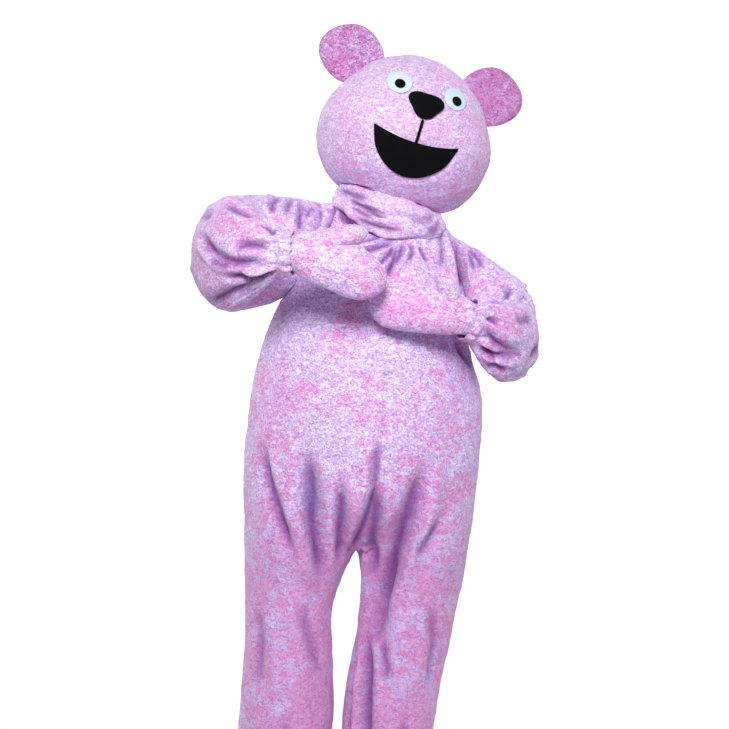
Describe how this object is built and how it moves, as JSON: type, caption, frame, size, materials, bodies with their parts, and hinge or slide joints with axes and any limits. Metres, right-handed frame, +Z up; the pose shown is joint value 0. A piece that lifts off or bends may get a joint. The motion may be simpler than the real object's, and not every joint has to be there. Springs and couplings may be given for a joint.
{
  "type": "bear costume",
  "caption": "Full-body plush bear costume, kept in its worn hollow form: a loose suit with gathered sleeves, mittens, a foam-backed head with round ears, and a rolled neck skirt.",
  "frame": {"origin": "between the wearer's shoulders, at the base of the neck", "axes": "+X towards the wearer's left, -Y is the front, +Z up"},
  "size_m": [0.8734, 0.6233, 1.963],
  "materials": {
    "suit_plush": "short crushed plush, mottled pink and lilac",
    "head_plush": "short crushed plush over foam",
    "black_felt": "flat black felt",
    "white_felt": "smooth white felt",
    "zip_tape": "woven tape and coil",
    "zip_metal": "dull nickel"
  },
  "bodies": {
    "suit": {"front_right": "suit_plush", "front_left": "suit_plush", "back_right": "suit_plush", "back_left": "suit_plush", "sleeve_right_front": "suit_plush", "sleeve_right_back": "suit_plush", "sleeve_left_front": "suit_plush", "sleeve_left_back": "suit_plush", "mitten_right_palm": "suit_plush", "mitten_right_back": "suit_plush", "mitten_right_thumb": "suit_plush", "mitten_left_palm": "suit_plush", "mitten_left_back": "suit_plush", "mitten_left_thumb": "suit_plush", "neck_skirt": "suit_plush", "head_front": "head_plush", "head_back": "head_plush", "ear_right_front": "head_plush", "ear_right_back": "head_plush", "ear_left_front": "head_plush", "ear_left_back": "head_plush", "nose": "black_felt", "mouth": "black_felt", "pupil_right": "black_felt", "pupil_left": "black_felt", "eye_white_right": "white_felt", "eye_white_left": "white_felt", "zip_chain": "zip_tape", "zip_slider": "zip_metal"},
    "pull_tab": {"zip_pull": "zip_metal"}
  },
  "joints": [
    {"name": "pull_tab_swing", "type": "hinge", "parent": "suit", "child": "pull_tab", "pos_m": [0, 0.14217, -0.11595], "axis": [1, 0, 0], "range_deg": [0, 150]}
  ]
}
